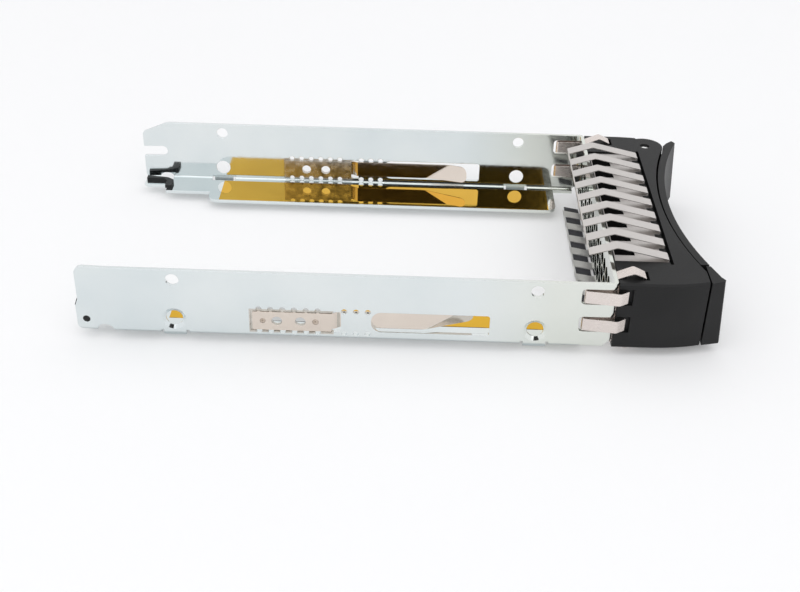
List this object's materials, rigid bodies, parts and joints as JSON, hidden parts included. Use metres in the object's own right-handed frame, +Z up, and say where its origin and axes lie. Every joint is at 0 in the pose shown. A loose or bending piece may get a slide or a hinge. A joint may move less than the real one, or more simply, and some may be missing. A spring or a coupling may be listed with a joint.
{
  "type": "drive caddy",
  "caption": "Hot swap caddy for a small drive: folded steel rails with leaf springs, spring-finger gaskets and a black bezel with a swinging ejector lever.",
  "frame": {"origin": "midway between the two rails, on the plane of the flanges' underside, level with the rear drive screws", "axes": "+X along the caddy from the connector end to the bezel, +Y to the side of the lever's pivot, +Z up"},
  "size_m": [0.1381, 0.0742, 0.0207],
  "materials": {
    "zinc_steel": "bright zinc plated, satin",
    "spring_steel": "satin stainless",
    "gasket_steel": "satin stainless",
    "amber_film": "glossy polyimide film",
    "black_plastic": "moulded",
    "bezel_plastic": "fine texture",
    "pin_steel": "bright"
  },
  "bodies": {
    "caddy": {"chassis_frame": "zinc_steel", "left_leaf_spring": "spring_steel", "right_leaf_spring": "spring_steel", "left_insulating_film": "amber_film", "right_insulating_film": "amber_film", "left_rear_bumper": "black_plastic", "right_rear_bumper": "black_plastic", "emi_collar": "gasket_steel", "emi_top_strip": "gasket_steel", "emi_bottom_strip": "gasket_steel", "bezel_body": "bezel_plastic", "lever_pivot_pin": "pin_steel", "lever_spring": "spring_steel", "latch_pivot_pin": "pin_steel", "latch_spring": "spring_steel"},
    "lever": {"lever": "bezel_plastic"},
    "latch": {"release_latch": "bezel_plastic"}
  },
  "joints": [
    {"name": "lever_pivot", "type": "hinge", "parent": "caddy", "child": "lever", "pos_m": [0.1079, 0.0306, 0.008], "axis": [0, 0, 1], "range_deg": [0, 60], "deforming": ["lever_spring"]},
    {"name": "latch_pivot", "type": "hinge", "parent": "caddy", "child": "latch", "pos_m": [0.104, -0.0318, 0.008], "axis": [0, 0, 1], "range_deg": [-6, 0], "stiffness_Nm_per_rad": 0.02, "springref_deg": 11.46, "deforming": ["latch_spring"]}
  ]
}
